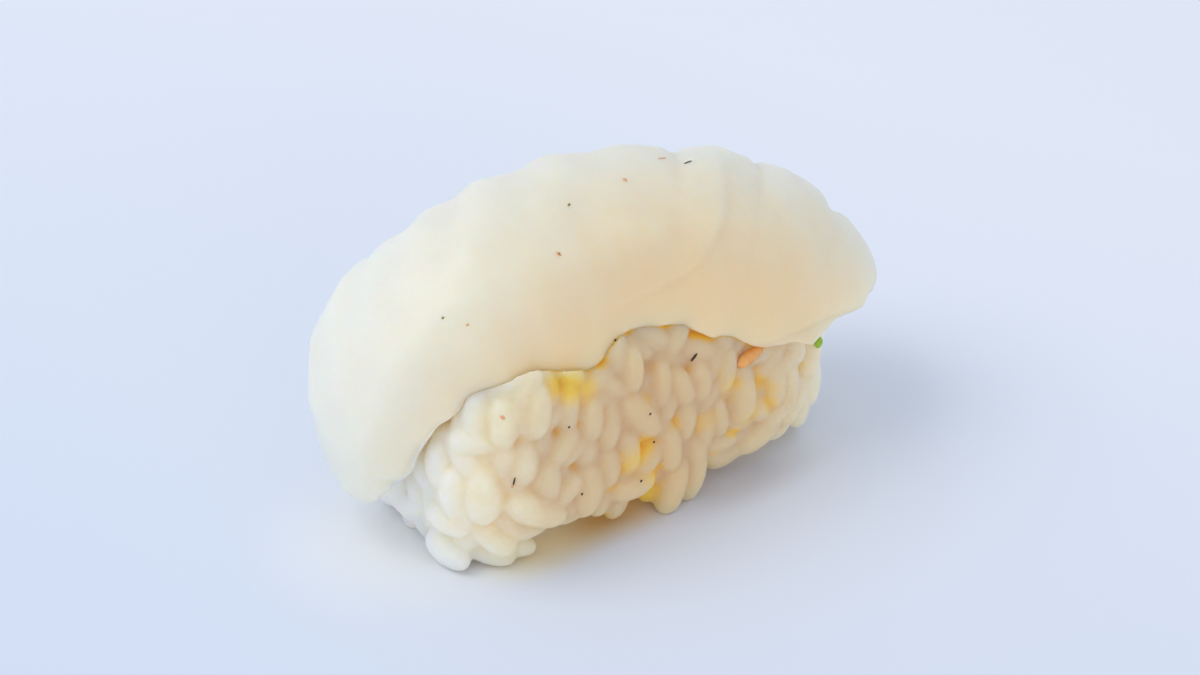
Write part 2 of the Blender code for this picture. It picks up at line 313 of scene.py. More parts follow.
def mottle_group():
    """Soft blotches and finer flecks of a moist surface: a mask around 0.5, and a fine height for bumps."""
    group = bpy.data.node_groups.new("moist_mottle", "ShaderNodeTree")
    group.interface.new_socket("Vector", in_out="INPUT", socket_type="NodeSocketVector")
    group.interface.new_socket("Blotch Scale", in_out="INPUT", socket_type="NodeSocketFloat")
    group.interface.new_socket("Fine Scale", in_out="INPUT", socket_type="NodeSocketFloat")
    group.interface.new_socket("Mask", in_out="OUTPUT", socket_type="NodeSocketFloat")
    group.interface.new_socket("Height", in_out="OUTPUT", socket_type="NodeSocketFloat")
    nodes, links = group.nodes, group.links
    start, end = nodes.new("NodeGroupInput"), nodes.new("NodeGroupOutput")
    blotch = add_node(nodes, "ShaderNodeTexNoise", Detail=3.0, Roughness=0.55)
    fine = add_node(nodes, "ShaderNodeTexNoise", Detail=4.0, Roughness=0.6)
    both = add_node(nodes, "ShaderNodeMix", data_type="FLOAT", Factor=0.3)
    links.new(start.outputs["Vector"], blotch.inputs["Vector"])
    links.new(start.outputs["Vector"], fine.inputs["Vector"])
    links.new(start.outputs["Blotch Scale"], blotch.inputs["Scale"])
    links.new(start.outputs["Fine Scale"], fine.inputs["Scale"])
    links.new(blotch.outputs["Fac"], both.inputs["A"])
    links.new(fine.outputs["Fac"], both.inputs["B"])
    links.new(both.outputs["Result"], end.inputs["Mask"])
    links.new(fine.outputs["Fac"], end.inputs["Height"])
    return group


moist_mottle = mottle_group()


def warmth_group():
    """Painted through-light from 0 to 1, as warmth: highest at the middle of the front, where the light has
    come furthest through.
    """
    group = bpy.data.node_groups.new("painted_through_light", "ShaderNodeTree")
    group.interface.new_socket("Vector", in_out="INPUT", socket_type="NodeSocketVector")
    group.interface.new_socket("Near", in_out="INPUT", socket_type="NodeSocketFloat")
    group.interface.new_socket("Far", in_out="INPUT", socket_type="NodeSocketFloat")
    group.interface.new_socket("Warmth", in_out="OUTPUT", socket_type="NodeSocketFloat")
    nodes, links = group.nodes, group.links
    start, end = nodes.new("NodeGroupInput"), nodes.new("NodeGroupOutput")
    distance = add_node(nodes, "ShaderNodeVectorMath", operation="DISTANCE")
    distance.inputs[1].default_value = WARM_MIDDLE
    fall = add_node(nodes, "ShaderNodeMapRange")
    links.new(start.outputs["Far"], fall.inputs["From Min"])
    links.new(start.outputs["Near"], fall.inputs["From Max"])
    links.new(start.outputs["Vector"], distance.inputs[0])
    links.new(distance.outputs["Value"], fall.inputs["Value"])
    links.new(fall.outputs["Result"], end.inputs["Warmth"])
    return group


WARM_MIDDLE = (0, -0.0185, 0.012)
painted_through_light = warmth_group()
# The flesh is moist and lets light deep in, and that light is painted into its colour: whitish where the
# light falls on it from the left, and a warm yellow where it has passed through the fish.
FLESH_TONES = [
    (0.0, (0.94, 0.90, 0.78)), (0.3, (0.87, 0.83, 0.67)),
    (0.6, (0.87, 0.75, 0.52)), (0.9, (0.87, 0.67, 0.39)),
]
material, nodes, links = new_material("raw_halibut")
shader = nodes["Principled BSDF"]
coordinates = add_node(nodes, "ShaderNodeTexCoord")
# The warmth is painted light, strongest at the middle of the front
warmth = add_node(nodes, "ShaderNodeGroup", node_tree=painted_through_light)
warmth.inputs["Near"].default_value = 0.014
warmth.inputs["Far"].default_value = 0.039
mottle = add_node(nodes, "ShaderNodeGroup", node_tree=moist_mottle)
mottle.inputs["Blotch Scale"].default_value = 140
mottle.inputs["Fine Scale"].default_value = 900
shift = add_node(nodes, "ShaderNodeMath", operation="MULTIPLY_ADD")
shift.inputs[1].default_value = 0.25
# Pale wisps run along the muscle bands, across the slice
grain_way = add_node(nodes, "ShaderNodeMapping", Rotation=(0, 0, math.radians(28)), Scale=(260, 45, 45))
wisps = add_node(nodes, "ShaderNodeTexNoise", Scale=1.0, Detail=3.0, Roughness=0.6, Distortion=0.4)
wisp_mix = add_node(nodes, "ShaderNodeMath", operation="MULTIPLY_ADD")
wisp_mix.inputs[1].default_value = -0.22
wisp_mix.inputs[2].default_value = 0.11
with_wisps = add_node(nodes, "ShaderNodeMath", operation="ADD")
# The thin front edge is painted a warmer peach and made to glow: painted light that has come through the thin
# flesh
thin = add_node(nodes, "ShaderNodeAttribute", attribute_name="thinness")
painted_edge_warmth = add_node(nodes, "ShaderNodeMath", operation="MULTIPLY_ADD")
painted_edge_warmth.inputs[1].default_value = 0.08
painted_edge_glow = add_node(nodes, "ShaderNodeMix", data_type="RGBA")
painted_edge_glow.inputs["A"].default_value = (0, 0, 0, 1)
painted_edge_glow.inputs["B"].default_value = (0.68, 0.50, 0.32, 1)
shader.inputs["Emission Strength"].default_value = 0.16
links.new(thin.outputs["Fac"], painted_edge_warmth.inputs[0])
links.new(with_wisps.outputs["Value"], painted_edge_warmth.inputs[2])
links.new(thin.outputs["Fac"], painted_edge_glow.inputs["Factor"])
links.new(painted_edge_glow.outputs["Result"], shader.inputs["Emission Color"])
ramp = add_node(nodes, "ShaderNodeValToRGB")
set_ramp(ramp, FLESH_TONES)
gloss = add_node(nodes, "ShaderNodeMapRange")
gloss.inputs["To Min"].default_value = 0.34
gloss.inputs["To Max"].default_value = 0.56
bump = add_node(nodes, "ShaderNodeBump", Strength=0.25, Distance=0.0002)
centred = add_node(nodes, "ShaderNodeMath", operation="SUBTRACT")
centred.inputs[1].default_value = 0.5
links.new(coordinates.outputs["Object"], warmth.inputs["Vector"])
links.new(coordinates.outputs["Object"], mottle.inputs["Vector"])
links.new(mottle.outputs["Mask"], centred.inputs[0])
links.new(centred.outputs["Value"], shift.inputs[0])
links.new(warmth.outputs["Warmth"], shift.inputs[2])
links.new(coordinates.outputs["Object"], grain_way.inputs["Vector"])
links.new(grain_way.outputs["Vector"], wisps.inputs["Vector"])
links.new(wisps.outputs["Fac"], wisp_mix.inputs[0])
links.new(shift.outputs["Value"], with_wisps.inputs[0])
links.new(wisp_mix.outputs["Value"], with_wisps.inputs[1])
links.new(painted_edge_warmth.outputs["Value"], ramp.inputs["Fac"])
links.new(ramp.outputs["Color"], shader.inputs["Base Color"])
links.new(mottle.outputs["Mask"], gloss.inputs["Value"])
links.new(gloss.outputs["Result"], shader.inputs["Roughness"])
links.new(mottle.outputs["Height"], bump.inputs["Height"])
links.new(bump.outputs["Normal"], shader.inputs["Normal"])
shader.inputs["Subsurface Weight"].default_value = 1
shader.inputs["Subsurface Radius"].default_value = (1.0, 0.75, 0.5)
shader.inputs["Subsurface Scale"].default_value = 0.005
shader.inputs["IOR"].default_value = 1.38
shader.inputs["Coat Weight"].default_value = 0.1
shader.inputs["Coat Roughness"].default_value = 0.3
fish.data.materials.append(material)
finish_piece(fish, "fish_slice")

# The rice: cooked short-grain rice with vinegar, pressed by hand into an oblong ball. The grains stick
# together where they touch, so they are modelled one by one, laid on a packed middle and fused. A place on it
# is a bearing seen from above, in degrees from +X towards +Y, and a height.
RICE_HALF_LENGTH = 24.0
RICE_HALF_WIDTH = 11.9
RICE_WIDEST_Z = 8
RICE_TOP = 21
RICE_UNDERCUT = (0.05, 0.34)
RICE_SQUARENESS = 5.0
RICE_STEEPNESS = 3.0
SKIN_STEP = (0.1, 0.5)  # how far up in mm, and round in degrees, it is felt which way the skin faces
CORE_BALL = (72, 40)  # segments and rings
CORE_INSET = 1.4
CORE_DEPTH = 1  # how far the core goes on below the base, where it is cut off flat
CORE_TIP = 0.995  # above and below this, the core is closed in one point
GRAIN_BALL = (12, 8)  # few faces, as there are hundreds of grains
GRAIN_LENGTH = 6.6
GRAIN_WIDTH = 2.8
GRAIN_LENGTHS = (0.85, 1.1)  # how much these vary
GRAIN_WIDTHS = (0.9, 1.08)
GRAIN_PUSHES = (-0.4, 0.1)  # how far a grain stands in or out
GRAIN_SPACING = 2.6  # between grains side by side
GRAIN_SLIMNESS = 1.9  # and this many times as far end to end
GRAIN_LEAN = 35  # twice as much behind
LOWEST_GRAIN = 5.2
HIGHEST_GRAIN = 27
GRAIN_TRIES = 9000
GRAIN_CLEARANCE = 0.1
SEED = 11
GRAIN_BEND = 0.16
GRAIN_TAPER = 0.12
GRAIN_ROLL = 0.2
GRAIN_BLUNTNESS = (-0.15, 0.95)  # of its girth and of its length
GRAIN_FLATNESS = 0.95
GRAIN_PLUMP = 1.14
GRAIN_STAGGER = (-0.4, 0.4)  # how far single grains stand back or forward
# The layer beneath
FILL_SPACING = 1.45
FILL_TRIES = 6000
FILL_LOWEST = (3.4, 1.4)  # in front and behind
FILL_LEAN = 80
FILL_LENGTH = 0.9
FILL_PUSH = -0.6
FILL_PUSHES = (0.8, 1.2)
HOLLOW_CUTS = (40, 20, 1)
VOXEL = 0.3
SOFTENING = (0.5, 3)
# The grains that show at the front: bearing and height of the middle, lean to the right in degrees, length
# and width, and how far they stick out beyond the rest
PLACED_GRAINS = [
    (-178, 7, -15, 5.6, 2.7, 0),
    (-168, 12.5, -9, 5.9, 2.9, 0),
    (-166, 6, -89, 6.2, 2.9, 0),
    (-163, 10, -5, 6.2, 3.1, 0),
    (-166, 1.6, -80, 6.2, 2.9, 0.8),
    (-158, 1.8, -75, 6.2, 2.8, 0.5),
    (-153, 2.2, -62, 5.6, 2.6, 0.5),
    (-159, 16.5, -96, 5.2, 2.6, 0),
    (-159, 19.2, -13, 5.4, 2.8, 0),
    (-156, 10.5, -1, 7.2, 3.6, 0),
    (-155, 4.5, -42, 6.2, 3, 0),
    (-153, 18.5, -11, 5.4, 2.8, 0),
    (-152, 14.5, 0, 5, 2.5, 0),
    (-151, 6, -36, 5.6, 2.2, 0),
    (-148, 13.5, -1, 5.4, 3, 0),
    (-146, 7.5, -55, 8.4, 3.3, 0.5),
    (-146, 19, 0, 6.2, 3.1, 0),
    (-143, 10.5, 0, 5.6, 2.9, 0),
    (-139, 14, 38, 5.2, 2.5, 0),
    (-138, 6.8, -10, 4.8, 2, 0),
    (-138, 8.6, 46, 4.6, 2.4, 0),
    (-137, 17.5, 2, 6.2, 2.4, 0),
    (-131, 7.5, 2, 7.5, 3.8, 0),
    (-131, 12.5, 5, 4.8, 2.9, 0),
    (-130, 16, 0, 5.2, 2.4, 0),
    (-123, 14.5, 5, 6.2, 2.6, 0),
    (-118, 18, -57, 5.4, 2.2, 0),
    (-111, 5.5, 89, 6, 3.2, 0),
    (-110, 19.5, 6, 5.4, 2.4, 0),
    (-107, 14, -37, 8, 3.4, 0),
    (-101, 8, 51, 5.6, 3, 0),
    (-93, 16.5, 7, 5.4, 2.2, 0),
    (-89, 8.5, -6, 6.2, 2.7, 0),
    (-84, 2.9, 16, 7.6, 3.1, 1.2),
    (-81, 15.5, -22, 5.4, 2.6, 0),
    (-78, 11, 2, 6, 2.7, 0),
    (-69, 15, -2, 5.4, 2.6, 0),
    (-68, 3, 14, 7, 2.7, 0.9),
    (-66, 8.5, 0, 6.2, 2.6, 0),
    (-59, 9.5, -8, 5.4, 2, 0),
    (-56, 15, 13, 5.8, 2.7, 0),
    (-49, 10.5, 3, 6.6, 3.3, 0),
    (-46, 3.2, 70, 6.6, 3.1, 0),
    (-39, 4.2, 68, 6.4, 3.1, 0),
    (-38, 10.5, -5, 6.7, 2.8, 0),
    (-34, 9, 3, 7.2, 2.9, 0),
    (-27, 5, -5, 7.2, 2.8, 0),
    (-26, 11, 8, 6, 2.6, 0),
]
# Hollows between the grains, where painted light is laid on as if it came through them golden: bearing and
# height, how far the gold spreads in mm, and how strong it is
GAPS = [
    (-142, 21, 1.8, 0.9), (-137, 20.3, 2, 0.9), (-132, 19.5, 1.6, 0.7), (-152, 20, 1, 0.9),
    (-159, 18.5, 1.2, 0.5), (-158, 14.5, 1.4, 0.4), (-153, 11, 0.7, 0.9), (-144, 9, 0.8, 0.9),
    (-124, 13, 1.4, 0.4), (-123, 7, 1, 0.9), (-112, 9.5, 2.2, 0.7), (-107, 10, 2, 0.6), (-103, 6, 1.8, 0.8),
    (-106, 15.5, 1.5, 0.5), (-125, 21.5, 1.2, 0.4), (-105, 3, 2, 0.9), (-98, 2.6, 2, 0.9),
    (-93, 2, 1.6, 0.8), (-75, 2, 1.6, 0.7), (-62, 3, 1.4, 0.5), (-88, 11, 1.4, 0.4), (-59, 15.5, 1.4, 0.4),
    (-51, 6.5, 1, 0.7), (-59, 5, 1, 0.5), (-43, 11.5, 1.4, 0.5), (-40, 8.5, 1.5, 0.7),
    (-39, 10.5, 1.5, 0.6), (-32, 0.5, 1, 0.7), (-120, 0.8, 2.2, 0.9), (-110, 0.6, 2.2, 1),
    (-98, 0.6, 2, 0.9), (-130, 1.2, 2, 0.8), (-55, 13.5, 2, 0.5), (-47, 8.5, 2, 0.5), (-66, 10, 2, 0.35),
]
GAP_SIZE = 0.9  # the layer beneath leaves them open this far


def skin_point(bearing, z):
    """The ball's skin at a bearing and a height: domed above its widest level, undercut below."""
    dome = max(0.0, 1 - max(0.0, (z - RICE_WIDEST_Z) / RICE_TOP) ** RICE_STEEPNESS) ** (1 / RICE_STEEPNESS)
    depth = max(0.0, 1 - z / RICE_WIDEST_Z) ** 2
    half_length = RICE_HALF_LENGTH * (1 - RICE_UNDERCUT[0] * depth) * dome
    half_width = RICE_HALF_WIDTH * (1 - RICE_UNDERCUT[1] * depth) * dome
    if dome == 0:
        return Vector((0, 0, z))
    x, y = math.cos(math.radians(bearing)), math.sin(math.radians(bearing))
    plan = abs(x / half_length) ** RICE_SQUARENESS + abs(y / half_width) ** RICE_SQUARENESS
    return Vector((x, y, 0)) * plan ** (-1 / RICE_SQUARENESS) + Vector((0, 0, z))


def skin_frame(bearing, z):
    """The skin's point with its upward and outward directions, which stay level over the undercut."""
    level = max(z, RICE_WIDEST_Z)
    rise, swing = SKIN_STEP
    upward = (skin_point(bearing, level + rise) - skin_point(bearing, level)).normalized()
    sideways = (skin_point(bearing + swing, level) - skin_point(bearing - swing, level)).normalized()
    return skin_point(bearing, z), upward, sideways.cross(upward).normalized()


def lying(upward, outward, lean):
    """The turn that lays a piece's local Z along the skin, leaning to the right, with its local Y outward."""
    axis = upward * math.cos(math.radians(lean)) + upward.cross(outward) * math.sin(math.radians(lean))
    return Matrix((outward.cross(axis), outward, axis)).transposed()


def has_room(grain, others, spacing):
    """Whether a grain lies clear of the others: they may lie closer side by side than end to end."""
    axis = lying(*grain[1:4]).col[2]
    for other in others:
        gap = grain[0] - other[0]
        if gap.length > spacing * GRAIN_SLIMNESS:
            continue
        for way in (axis, lying(*other[1:4]).col[2]):
            if (gap - way * gap.dot(way) * (1 - 1 / GRAIN_SLIMNESS)).length < spacing:
                return False
    return True


def grain_places():
    """Every grain on the ball: those placed one by one, then others wherever the skin still has room."""
    chance = random.Random(SEED)
    grains = [(*skin_frame(bearing, z), *shape) for bearing, z, *shape in PLACED_GRAINS]
    for _ in range(GRAIN_TRIES):
        bearing, z = chance.uniform(-180, 180), chance.uniform(LOWEST_GRAIN, HIGHEST_GRAIN)
        lean = chance.uniform(-GRAIN_LEAN, GRAIN_LEAN) * (1 if bearing < 0 else 2)
        length = GRAIN_LENGTH * chance.uniform(*GRAIN_LENGTHS)
        width = GRAIN_WIDTH * chance.uniform(*GRAIN_WIDTHS)
        grain = (*skin_frame(bearing, z), lean, length, width, chance.uniform(*GRAIN_PUSHES))
        if has_room(grain, grains, GRAIN_SPACING):
            grains.append(grain)
    return grains


def filling_places(grains):
    """Grains of the layer beneath, wherever the outer ones leave a gap."""
    chance = random.Random(SEED + 2)
    fillers = []
    for _ in range(FILL_TRIES):
        bearing = chance.uniform(-180, 180)
        place = skin_frame(bearing, chance.uniform(FILL_LOWEST[bearing > 0], HIGHEST_GRAIN))
        lean, push = chance.uniform(-FILL_LEAN, FILL_LEAN), FILL_PUSH * chance.uniform(*FILL_PUSHES)
        grain = (*place, lean, GRAIN_LENGTH * FILL_LENGTH, GRAIN_WIDTH, push)
        clear = all((place[0] - skin_point(*gap[:2])).length > GAP_SIZE for gap in GAPS)
        if clear and has_room(grain, grains + fillers, FILL_SPACING):
            fillers.append(grain)
    return fillers


def new_ball(name, segments, rings):
    """A ball of radius 1 at the origin."""
    bpy.ops.object.select_all(action="DESELECT")
    bpy.ops.mesh.primitive_uv_sphere_add(segments=segments, ring_count=rings, radius=1)
    piece = bpy.context.object
    piece.name = piece.data.name = name
    return piece


def apply_modifier(piece, kind, **settings):
    """Adds a modifier with its settings and applies it."""
    bpy.ops.object.select_all(action="DESELECT")
    piece.select_set(True)
    bpy.context.view_layer.objects.active = piece
    modifier = piece.modifiers.new(kind.lower(), kind)
    for key, value in settings.items():
        setattr(modifier, key, value)
    bpy.ops.object.modifier_apply(modifier=modifier.name)


rice = new_ball("sushi_rice", *CORE_BALL)
for vert in rice.data.vertices:
    x, y, level = vert.co
    z = RICE_WIDEST_Z + level * (RICE_TOP - CORE_INSET if level > 0 else RICE_WIDEST_Z + CORE_DEPTH)
    if abs(level) > CORE_TIP:
        vert.co = Vector((0, 0, z)) * MM
    else:
        point, _, outward = skin_frame(math.degrees(math.atan2(y, x)), z)
        vert.co = (point - outward * CORE_INSET) * MM

# One grain is modelled blunt at both ends, then each copy gets its own length, girth, bend and place, where
# it stays clear of the fish
grain_pattern = new_ball("grain", *GRAIN_BALL)
for vert in grain_pattern.data.vertices:
    x, y, z = vert.co
    girth = math.hypot(x, y) ** GRAIN_BLUNTNESS[0] if abs(z) < 0.99 else 1
    vert.co = Vector((x * girth, y * girth, math.copysign(abs(z) ** GRAIN_BLUNTNESS[1], z)))
bends = random.Random(SEED + 1)
fish_tree = BVHTree.FromPolygons(
    [vert.co / MM for vert in fish.data.vertices], [face.vertices[:] for face in fish.data.polygons]
)
grains = bpy.data.collections.new("grains")
bpy.context.scene.collection.children.link(grains)
outer_grains = grain_places()
for point, upward, outward, lean, length, width, push in outer_grains + filling_places(outer_grains):
    near, normal, _, distance = fish_tree.find_nearest(point)
    bend = bends.uniform(-1, 1) * GRAIN_BEND
    taper = bends.uniform(-GRAIN_TAPER, GRAIN_TAPER)
    roll = bends.uniform(-GRAIN_ROLL, GRAIN_ROLL)
    if distance < GRAIN_CLEARANCE or (point - near).dot(normal) < 0:
        continue
    turn = lying(upward, outward, lean) @ Matrix.Rotation(roll, 3, "Z")
    width *= GRAIN_PLUMP
    push += bends.uniform(*GRAIN_STAGGER)
    mesh = grain_pattern.data.copy()
    for vert in mesh.vertices:
        x, y, z = vert.co
        girth = width * (1 + taper * z)
        local = Vector((x * girth + bend * z * z * width, y * girth * GRAIN_FLATNESS, z * length)) / 2
        vert.co = (point + outward * push + turn @ local) * MM
    grains.objects.link(bpy.data.objects.new("grain", mesh))
bpy.data.objects.remove(grain_pattern)
apply_modifier(
    rice, "BOOLEAN", operand_type="COLLECTION", collection=grains, operation="UNION", solver="MANIFOLD"
)
for thing in list(grains.objects):
    bpy.data.objects.remove(thing)
bpy.data.collections.remove(grains)

# The ball stands flat on its base, and its top is pressed to the underside of the fish
bpy.ops.object.select_all(action="DESELECT")
bpy.ops.mesh.primitive_cube_add(size=0.08, location=(0, 0, -0.04))
below = bpy.context.object
apply_modifier(rice, "BOOLEAN", object=below, operation="DIFFERENCE", solver="MANIFOLD")
bpy.data.objects.remove(below)
hollow = cut_block("hollow", HOLLOW_CUTS)
for vert in hollow.data.vertices:
    vert.co = slice_point(*vert.co, plain=True) * MM
apply_modifier(rice, "BOOLEAN", object=hollow, operation="DIFFERENCE", solver="MANIFOLD")
bpy.data.objects.remove(hollow)
apply_modifier(rice, "REMESH", mode="VOXEL", voxel_size=VOXEL * MM, use_smooth_shade=True)
# What the fish presses off falls away: only what hangs together with the ball's right end is kept
bpy.ops.object.mode_set(mode="EDIT")
bpy.ops.mesh.select_mode(type="VERT")
bpy.ops.mesh.select_all(action="DESELECT")
bpy.ops.object.mode_set(mode="OBJECT")
max(rice.data.vertices, key=lambda vert: vert.co.x).select = True
bpy.ops.object.mode_set(mode="EDIT")
bpy.ops.mesh.select_linked()
bpy.ops.mesh.select_all(action="INVERT")
bpy.ops.mesh.delete(type="VERT")
bpy.ops.object.mode_set(mode="OBJECT")
apply_modifier(rice, "SMOOTH", factor=SOFTENING[0], iterations=SOFTENING[1])

# How far each spot lies sheltered between its neighbours, as a mask for painted light and shade: light
# reaches it only through the grains and the fish, and turns golden on the way, in front and less so behind.
# The gold is painted into the colour and made to glow.
SHELTER_REACH = 3.2
SHELTER_RINGS = ((20, 3), (52, 6))  # angle off the surface's own direction, rays
SHELTER_START = 0.06
SHELTER_GOLD = 0.8
GAP_GOLD = 0.85
GOLD_MIDDLE = Vector((1, -18.5, 12))
GOLD_REACH = 31
GOLD_FADE = 19
GOLD_LEAST = 0.1
rice_tree = BVHTree.FromPolygons(
    [vert.co / MM for vert in rice.data.vertices], [face.vertices[:] for face in rice.data.polygons]
)
directions = [
    Vector((
        math.sin(math.radians(angle)) * math.cos(math.tau * (i + 0.25 * angle) / count),
        math.sin(math.radians(angle)) * math.sin(math.tau * (i + 0.25 * angle) / count),
        math.cos(math.radians(angle)),
    ))
    for angle, count in SHELTER_RINGS
    for i in range(count)
]
golden = [(skin_point(bearing, z), reach, strength) for bearing, z, reach, strength in GAPS]
painted_crevice_gold = rice.data.attributes.new("painted_crevice_gold", "FLOAT", "POINT")
for vert, value in zip(rice.data.vertices, painted_crevice_gold.data):
    place, normal = vert.co / MM, vert.normal
    turn = normal.to_track_quat("Z", "Y")
    closed = 0.0
    for direction in directions:
        ray = turn @ direction
        start = place + normal * SHELTER_START
        distances = [tree.ray_cast(start, ray, SHELTER_REACH)[3] for tree in (rice_tree, fish_tree)]
        closed += max(1 - distance / SHELTER_REACH if distance is not None else 0 for distance in distances)
    gold = max(strength * math.exp(-((place - spot).length / reach) ** 2) for spot, reach, strength in golden)
    near = GOLD_LEAST + (1 - GOLD_LEAST) * smooth((GOLD_REACH - (place - GOLD_MIDDLE).length) / GOLD_FADE)
    value.value = near * (SHELTER_GOLD * closed / len(directions) + GAP_GOLD * gold)

# Cooked rice is pale and milky. Painted light and shade lie on that colour: warmer at the middle of the
# front, where light has come through the rice, and painted golden light and shade in the hollows between
# grains.
GRAIN_TONES = [
    (0.0, (0.95, 0.94, 0.87)), (0.36, (0.88, 0.75, 0.51)),
    (0.6, (0.76, 0.59, 0.36)), (0.95, (0.72, 0.51, 0.28)),
]
# The gold of the hollows: painted shade and painted light in the base colour
PAINTED_GOLD = (0.82, 0.53, 0.09)
material, nodes, links = new_material("cooked_rice")
shader = nodes["Principled BSDF"]
coordinates = add_node(nodes, "ShaderNodeTexCoord")
sheltered = add_node(nodes, "ShaderNodeAttribute", attribute_name="painted_crevice_gold")
mottle = add_node(nodes, "ShaderNodeGroup", node_tree=moist_mottle)
mottle.inputs["Blotch Scale"].default_value = 260
mottle.inputs["Fine Scale"].default_value = 1500
centred = add_node(nodes, "ShaderNodeMath", operation="SUBTRACT")
centred.inputs[1].default_value = 0.5
shift = add_node(nodes, "ShaderNodeMath", operation="MULTIPLY_ADD")
shift.inputs[1].default_value = 0.5
ramp = add_node(nodes, "ShaderNodeValToRGB")
set_ramp(ramp, GRAIN_TONES)
# The warmer middle of the front is painted light that has come through the rice
warmth = add_node(nodes, "ShaderNodeGroup", node_tree=painted_through_light)
warmth.inputs["Near"].default_value = 0.007
warmth.inputs["Far"].default_value = 0.032
gild = add_node(nodes, "ShaderNodeMix", data_type="RGBA")
gild.inputs["B"].default_value = (*PAINTED_GOLD, 1)
gilding = add_node(nodes, "ShaderNodeMapRange")
gilding.inputs["From Min"].default_value = 0.12
gilding.inputs["From Max"].default_value = 0.52
# Painted glow: a faint warm glow over all the rice lifts its shade, and a golden glow in the hollows stands
# for light come through the grains
painted_glow = add_node(nodes, "ShaderNodeMix", data_type="RGBA")
painted_glow.inputs["A"].default_value = (0.26, 0.21, 0.15, 1)
painted_glow.inputs["B"].default_value = (0.64, 0.40, 0.05, 1)
shader.inputs["Emission Strength"].default_value = 0.16
bump = add_node(nodes, "ShaderNodeBump", Strength=0.2, Distance=0.0001)
links.new(coordinates.outputs["Object"], mottle.inputs["Vector"])
links.new(mottle.outputs["Mask"], centred.inputs[0])
links.new(centred.outputs["Value"], shift.inputs[0])
links.new(coordinates.outputs["Object"], warmth.inputs["Vector"])
links.new(warmth.outputs["Warmth"], shift.inputs[2])
links.new(shift.outputs["Value"], ramp.inputs["Fac"])
links.new(sheltered.outputs["Fac"], gilding.inputs["Value"])
links.new(gilding.outputs["Result"], gild.inputs["Factor"])
links.new(gilding.outputs["Result"], painted_glow.inputs["Factor"])
links.new(ramp.outputs["Color"], gild.inputs["A"])
links.new(gild.outputs["Result"], shader.inputs["Base Color"])
links.new(painted_glow.outputs["Result"], shader.inputs["Emission Color"])
links.new(mottle.outputs["Height"], bump.inputs["Height"])
links.new(bump.outputs["Normal"], shader.inputs["Normal"])
shader.inputs["Roughness"].default_value = 0.38
shader.inputs["Subsurface Weight"].default_value = 1
shader.inputs["Subsurface Radius"].default_value = (1.0, 0.75, 0.5)
shader.inputs["Subsurface Scale"].default_value = 0.008
shader.inputs["IOR"].default_value = 1.38
rice.data.materials.clear()
rice.data.materials.append(material)
finish_piece(rice, "rice")

# Scraps of topping stuck to the nigiri: an orange and a green fleck on the rice, and specks of dark, red and
# green seasoning on both. Each is pressed lightly into the surface, where the photograph shows it.
# The view is from the front left, looking down
IMAGE = (1200, 675)  # pixels
AZIMUTH, ELEVATION = math.radians(-37), math.radians(33)
DISTANCE = 0.40
LENS = 110.0
SENSOR = 36
ORIGIN_PIXEL = (596.5, 460)  # where the middle of the rice's base shows
back = Vector((
    math.sin(AZIMUTH) * math.cos(ELEVATION), -math.cos(AZIMUTH) * math.cos(ELEVATION), math.sin(ELEVATION)
))
right = Vector((math.cos(AZIMUTH), math.sin(AZIMUTH), 0))
up = back.cross(right)
pixel = SENSOR / LENS / IMAGE[0] * DISTANCE
aside, below_middle = ORIGIN_PIXEL[0] - IMAGE[0] / 2, ORIGIN_PIXEL[1] - IMAGE[1] / 2
eye = back * DISTANCE - right * aside * pixel + up * below_middle * pixel
# Rows: the two ends in the image, width and thickness in mm
ORANGE_FLECK = [(736, 367, 760, 347, 1.4, 0.9)]
GREEN_FLECK = [(815, 347, 819, 337, 1.0, 0.8)]
DARK_SPECKS = [
    (691, 361, 697, 353, 0.3, 0.25), (513, 486, 515, 477, 0.2, 0.2), (614, 341, 616, 339, 0.25, 0.2),
    (568, 428, 570, 426, 0.2, 0.2), (649, 415, 651, 413, 0.2, 0.2), (653, 443, 655, 441, 0.2, 0.2),
    (640, 482, 642, 480, 0.22, 0.2), (581, 495, 583, 493, 0.2, 0.2), (684, 164, 692, 161, 0.22, 0.15),
    (558, 253, 560, 255, 0.15, 0.2),
]
RED_SPECKS = [
    (556, 252, 561, 256, 0.3, 0.14), (623, 179, 627, 181, 0.4, 0.2), (500, 416, 505, 419, 0.4, 0.2),
    (512, 488, 513, 484, 0.25, 0.2), (658, 159, 666, 158, 0.25, 0.12), (466, 326, 469, 324, 0.25, 0.1),
]
GREEN_SPECKS = [(568, 206, 570, 204, 0.28, 0.2), (442, 319, 444, 317, 0.25, 0.2)]
FLECK_BALL = (20, 14)  # segments and rings
SPECK_BALL = (12, 8)
RAGGEDNESS = (1.7, 0.3)  # how often and how far a lump's outline wanders
LUMP_RISE = 0.25  # how much of its thickness its middle stands out


def photo_spot(x, y):
    """Where the line of sight through a pixel meets the nigiri, and which way the surface faces there."""
    aim = right * (x - IMAGE[0] / 2) * pixel - up * (y - IMAGE[1] / 2) * pixel - back * DISTANCE
    hits = [tree.ray_cast(eye / MM, aim.normalized()) for tree in (rice_tree, fish_tree)]
    return min((hit for hit in hits if hit[0]), key=lambda hit: hit[3])[:2]


